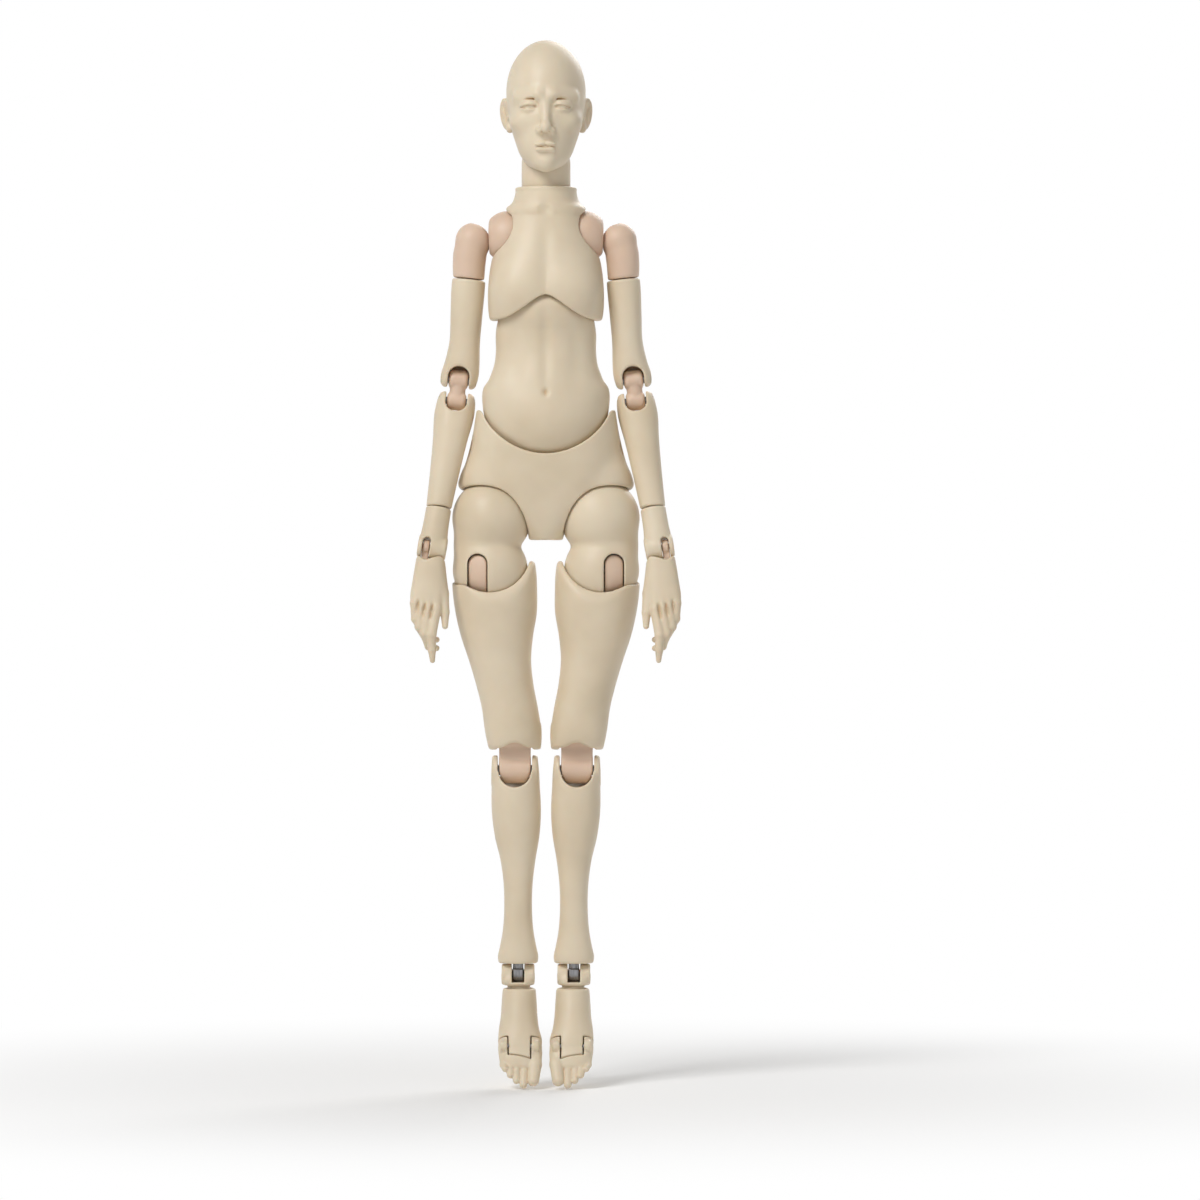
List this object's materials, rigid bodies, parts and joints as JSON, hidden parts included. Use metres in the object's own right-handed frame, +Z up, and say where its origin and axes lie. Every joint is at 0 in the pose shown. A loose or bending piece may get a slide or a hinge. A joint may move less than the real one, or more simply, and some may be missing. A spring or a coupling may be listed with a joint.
{
  "type": "jointed doll body",
  "caption": "Slender jointed doll body with a bald head: cast shells with ball joints, double hinged elbows and knees, jointed wrists, ankles and toes.",
  "frame": {"origin": "middle of the flat face under the crotch, where the saddle of a doll stand sits", "axes": "+Z up to the crown, the figure faces -Y, its left side is at +X"},
  "size_m": [0.0804, 0.0316, 0.2996],
  "materials": {
    "shell_resin": "satin ivory cast resin",
    "joint_resin": "satin pinkish cast resin",
    "pin_metal": "dull grey steel"
  },
  "bodies": {
    "pelvis": {"pelvis": "shell_resin"},
    "waist_peg": {"waist_peg": "joint_resin"},
    "abdomen": {"abdomen": "shell_resin"},
    "spine_peg": {"spine_peg": "joint_resin"},
    "chest": {"chest": "shell_resin"},
    "neck_peg": {"neck_peg": "joint_resin"},
    "neck": {"neck": "shell_resin"},
    "head_pin": {"head_pin": "joint_resin"},
    "head": {"head": "shell_resin"},
    "left_shoulder_link": {"left_shoulder_link": "joint_resin"},
    "left_shoulder_pivot": {"left_shoulder_pivot": "joint_resin"},
    "left_deltoid": {"left_deltoid": "joint_resin"},
    "left_upper_arm": {"left_upper_arm": "shell_resin", "left_elbow_upper_pin": "pin_metal"},
    "left_elbow_link": {"left_elbow_link": "joint_resin"},
    "left_forearm": {"left_forearm": "shell_resin", "left_elbow_lower_pin": "pin_metal"},
    "left_wrist_segment": {"left_wrist_segment": "shell_resin"},
    "left_hand": {"left_hand": "shell_resin", "left_wrist_tongue": "joint_resin"},
    "left_hip_peg": {"left_hip_peg": "joint_resin"},
    "left_thigh_upper": {"left_thigh_upper": "shell_resin", "left_thigh_pin": "pin_metal"},
    "left_thigh_tongue": {"left_thigh_tongue": "joint_resin"},
    "left_thigh_lower": {"left_thigh_lower": "shell_resin", "left_knee_upper_pin": "pin_metal"},
    "left_knee_link": {"left_knee_link": "joint_resin"},
    "left_shin": {"left_shin": "shell_resin", "left_knee_lower_pin": "pin_metal"},
    "left_ankle_bar": {"left_ankle_bar": "pin_metal"},
    "left_ankle_link": {"left_ankle_link": "shell_resin"},
    "left_foot": {"left_foot": "shell_resin", "left_toe_pin": "pin_metal"},
    "left_toes": {"left_toes": "shell_resin"},
    "right_shoulder_link": {"right_shoulder_link": "joint_resin"},
    "right_shoulder_pivot": {"right_shoulder_pivot": "joint_resin"},
    "right_deltoid": {"right_deltoid": "joint_resin"},
    "right_upper_arm": {"right_upper_arm": "shell_resin", "right_elbow_upper_pin": "pin_metal"},
    "right_elbow_link": {"right_elbow_link": "joint_resin"},
    "right_forearm": {"right_forearm": "shell_resin", "right_elbow_lower_pin": "pin_metal"},
    "right_wrist_segment": {"right_wrist_segment": "shell_resin"},
    "right_hand": {"right_hand": "shell_resin", "right_wrist_tongue": "joint_resin"},
    "right_hip_peg": {"right_hip_peg": "joint_resin"},
    "right_thigh_upper": {"right_thigh_upper": "shell_resin", "right_thigh_pin": "pin_metal"},
    "right_thigh_tongue": {"right_thigh_tongue": "joint_resin"},
    "right_thigh_lower": {"right_thigh_lower": "shell_resin", "right_knee_upper_pin": "pin_metal"},
    "right_knee_link": {"right_knee_link": "joint_resin"},
    "right_shin": {"right_shin": "shell_resin", "right_knee_lower_pin": "pin_metal"},
    "right_ankle_bar": {"right_ankle_bar": "pin_metal"},
    "right_ankle_link": {"right_ankle_link": "shell_resin"},
    "right_foot": {"right_foot": "shell_resin", "right_toe_pin": "pin_metal"},
    "right_toes": {"right_toes": "shell_resin"}
  },
  "joints": [
    {"name": "waist_turn", "type": "hinge", "parent": "pelvis", "child": "waist_peg", "pos_m": [0, 0, 0.04], "axis": [0, 0, 1], "range_deg": [-30, 30]},
    {"name": "waist_bend", "type": "hinge", "parent": "waist_peg", "child": "abdomen", "pos_m": [0, 0, 0.04], "axis": [1, 0, 0], "range_deg": [-12, 18]},
    {"name": "chest_crunch", "type": "hinge", "parent": "abdomen", "child": "spine_peg", "pos_m": [0, 0, 0.062], "axis": [1, 0, 0], "range_deg": [-10, 20]},
    {"name": "chest_turn", "type": "hinge", "parent": "spine_peg", "child": "chest", "pos_m": [0, 0, 0.062], "axis": [0, 0, 1], "range_deg": [-25, 25]},
    {"name": "neck_turn", "type": "hinge", "parent": "chest", "child": "neck_peg", "pos_m": [0, 0.001, 0.1], "axis": [0, 0, 1], "range_deg": [-30, 30]},
    {"name": "neck_tilt", "type": "hinge", "parent": "neck_peg", "child": "neck", "pos_m": [0, 0.001, 0.1], "axis": [1, 0, 0], "range_deg": [-12, 12]},
    {"name": "head_nod", "type": "hinge", "parent": "neck", "child": "head_pin", "pos_m": [0, 0.001, 0.108], "axis": [-1, 0, 0], "range_deg": [-12, 15]},
    {"name": "head_turn", "type": "hinge", "parent": "head_pin", "child": "head", "pos_m": [0, 0.001, 0.108], "axis": [0, 0, 1], "range_deg": [-60, 60]},
    {"name": "left_shoulder_shrug", "type": "hinge", "parent": "chest", "child": "left_shoulder_link", "pos_m": [0.0108, 0.0018, 0.0872], "axis": [0, -1, 0], "range_deg": [0, 15]},
    {"name": "left_shoulder_swing", "type": "hinge", "parent": "left_shoulder_link", "child": "left_shoulder_pivot", "pos_m": [0.0209, 0.0018, 0.086], "axis": [-1, 0, 0], "range_deg": [-60, 180]},
    {"name": "left_arm_lift", "type": "hinge", "parent": "left_shoulder_pivot", "child": "left_deltoid", "pos_m": [0.0209, 0.0018, 0.086], "axis": [0, -1, 0], "range_deg": [0, 80]},
    {"name": "left_upper_arm_turn", "type": "hinge", "parent": "left_deltoid", "child": "left_upper_arm", "pos_m": [0.02205, 0.0018, 0.07506], "axis": [-0.1044, 0, 0.9945], "range_deg": [-10, 150]},
    {"name": "left_elbow_upper_bend", "type": "hinge", "parent": "left_upper_arm", "child": "left_elbow_link", "pos_m": [0.0251, 0.0018, 0.04602], "axis": [-0.9945, 0, -0.1044], "range_deg": [0, 52]},
    {"name": "left_elbow_lower_bend", "type": "hinge", "parent": "left_elbow_link", "child": "left_forearm", "pos_m": [0.02575, 0.0018, 0.03985], "axis": [-0.9945, 0, -0.1044], "range_deg": [-12, 48]},
    {"name": "left_forearm_turn", "type": "hinge", "parent": "left_forearm", "child": "left_wrist_segment", "pos_m": [0.03062, -0.00477, 0.00929], "axis": [-0.154, 0.2076, 0.966], "range_deg": [-90, 90]},
    {"name": "left_wrist_bend", "type": "hinge", "parent": "left_wrist_segment", "child": "left_hand", "pos_m": [0.03247, -0.00726, -0.00231], "axis": [-0.9878, -0.0109, -0.1552], "range_deg": [-45, 45]},
    {"name": "left_hip_swing", "type": "hinge", "parent": "pelvis", "child": "left_hip_peg", "pos_m": [0.0156, 0, 0.0062], "axis": [-1, 0, 0], "range_deg": [-25, 80]},
    {"name": "left_hip_spread", "type": "hinge", "parent": "left_hip_peg", "child": "left_thigh_upper", "pos_m": [0.0156, 0, 0.0062], "axis": [0, -1, 0], "range_deg": [0, 10]},
    {"name": "left_thigh_bend", "type": "hinge", "parent": "left_thigh_upper", "child": "left_thigh_tongue", "pos_m": [0.016, -0.0005, -0.0085], "axis": [-1, 0, 0], "range_deg": [-8, 38]},
    {"name": "left_thigh_turn", "type": "hinge", "parent": "left_thigh_tongue", "child": "left_thigh_lower", "pos_m": [0.016, -0.0005, -0.0085], "axis": [0, 0, -1], "range_deg": [-45, 30]},
    {"name": "left_knee_upper_bend", "type": "hinge", "parent": "left_thigh_lower", "child": "left_knee_link", "pos_m": [0.0089, 0, -0.0565], "axis": [1, 0, 0], "range_deg": [0, 62]},
    {"name": "left_knee_lower_bend", "type": "hinge", "parent": "left_knee_link", "child": "left_shin", "pos_m": [0.0089, 0, -0.066], "axis": [1, 0, 0], "range_deg": [0, 62]},
    {"name": "left_ankle_turn", "type": "hinge", "parent": "left_shin", "child": "left_ankle_bar", "pos_m": [0.008, 0, -0.1213], "axis": [0, 0, 1], "range_deg": [-10, 40]},
    {"name": "left_ankle_pitch", "type": "hinge", "parent": "left_ankle_bar", "child": "left_ankle_link", "pos_m": [0.008, 0, -0.1246], "axis": [-1, 0, 0], "range_deg": [-15, 45]},
    {"name": "left_foot_tilt", "type": "hinge", "parent": "left_ankle_link", "child": "left_foot", "pos_m": [0.0077, 0.0005, -0.1295], "axis": [0, -1, 0], "range_deg": [0, 12]},
    {"name": "left_toe_bend", "type": "hinge", "parent": "left_foot", "child": "left_toes", "pos_m": [0.00739, -0.0086, -0.1446], "axis": [-1, 0, 0], "range_deg": [0, 45]},
    {"name": "right_shoulder_shrug", "type": "hinge", "parent": "chest", "child": "right_shoulder_link", "pos_m": [-0.0108, 0.0018, 0.0872], "axis": [0, 1, 0], "range_deg": [0, 15]},
    {"name": "right_shoulder_swing", "type": "hinge", "parent": "right_shoulder_link", "child": "right_shoulder_pivot", "pos_m": [-0.0209, 0.0018, 0.086], "axis": [-1, 0, 0], "range_deg": [-60, 180]},
    {"name": "right_arm_lift", "type": "hinge", "parent": "right_shoulder_pivot", "child": "right_deltoid", "pos_m": [-0.0209, 0.0018, 0.086], "axis": [0, 1, 0], "range_deg": [0, 80]},
    {"name": "right_upper_arm_turn", "type": "hinge", "parent": "right_deltoid", "child": "right_upper_arm", "pos_m": [-0.02205, 0.0018, 0.07506], "axis": [-0.1044, 0, -0.9945], "range_deg": [-10, 150]},
    {"name": "right_elbow_upper_bend", "type": "hinge", "parent": "right_upper_arm", "child": "right_elbow_link", "pos_m": [-0.0251, 0.0018, 0.04602], "axis": [-0.9945, 0, 0.1044], "range_deg": [0, 52]},
    {"name": "right_elbow_lower_bend", "type": "hinge", "parent": "right_elbow_link", "child": "right_forearm", "pos_m": [-0.02575, 0.0018, 0.03985], "axis": [-0.9945, 0, 0.1044], "range_deg": [-12, 48]},
    {"name": "right_forearm_turn", "type": "hinge", "parent": "right_forearm", "child": "right_wrist_segment", "pos_m": [-0.03062, -0.00477, 0.00929], "axis": [-0.154, -0.2076, -0.966], "range_deg": [-90, 90]},
    {"name": "right_wrist_bend", "type": "hinge", "parent": "right_wrist_segment", "child": "right_hand", "pos_m": [-0.03247, -0.00726, -0.00231], "axis": [-0.9878, 0.0109, 0.1552], "range_deg": [-45, 45]},
    {"name": "right_hip_swing", "type": "hinge", "parent": "pelvis", "child": "right_hip_peg", "pos_m": [-0.0156, 0, 0.0062], "axis": [-1, 0, 0], "range_deg": [-25, 80]},
    {"name": "right_hip_spread", "type": "hinge", "parent": "right_hip_peg", "child": "right_thigh_upper", "pos_m": [-0.0156, 0, 0.0062], "axis": [0, 1, 0], "range_deg": [0, 10]},
    {"name": "right_thigh_bend", "type": "hinge", "parent": "right_thigh_upper", "child": "right_thigh_tongue", "pos_m": [-0.016, -0.0005, -0.0085], "axis": [-1, 0, 0], "range_deg": [-8, 38]},
    {"name": "right_thigh_turn", "type": "hinge", "parent": "right_thigh_tongue", "child": "right_thigh_lower", "pos_m": [-0.016, -0.0005, -0.0085], "axis": [0, 0, 1], "range_deg": [-45, 30]},
    {"name": "right_knee_upper_bend", "type": "hinge", "parent": "right_thigh_lower", "child": "right_knee_link", "pos_m": [-0.0089, 0, -0.0565], "axis": [1, 0, 0], "range_deg": [0, 62]},
    {"name": "right_knee_lower_bend", "type": "hinge", "parent": "right_knee_link", "child": "right_shin", "pos_m": [-0.0089, 0, -0.066], "axis": [1, 0, 0], "range_deg": [0, 62]},
    {"name": "right_ankle_turn", "type": "hinge", "parent": "right_shin", "child": "right_ankle_bar", "pos_m": [-0.008, 0, -0.1213], "axis": [0, 0, -1], "range_deg": [-10, 40]},
    {"name": "right_ankle_pitch", "type": "hinge", "parent": "right_ankle_bar", "child": "right_ankle_link", "pos_m": [-0.008, 0, -0.1246], "axis": [-1, 0, 0], "range_deg": [-15, 45]},
    {"name": "right_foot_tilt", "type": "hinge", "parent": "right_ankle_link", "child": "right_foot", "pos_m": [-0.0077, 0.0005, -0.1295], "axis": [0, 1, 0], "range_deg": [0, 12]},
    {"name": "right_toe_bend", "type": "hinge", "parent": "right_foot", "child": "right_toes", "pos_m": [-0.00739, -0.0086, -0.1446], "axis": [-1, 0, 0], "range_deg": [0, 45]}
  ]
}
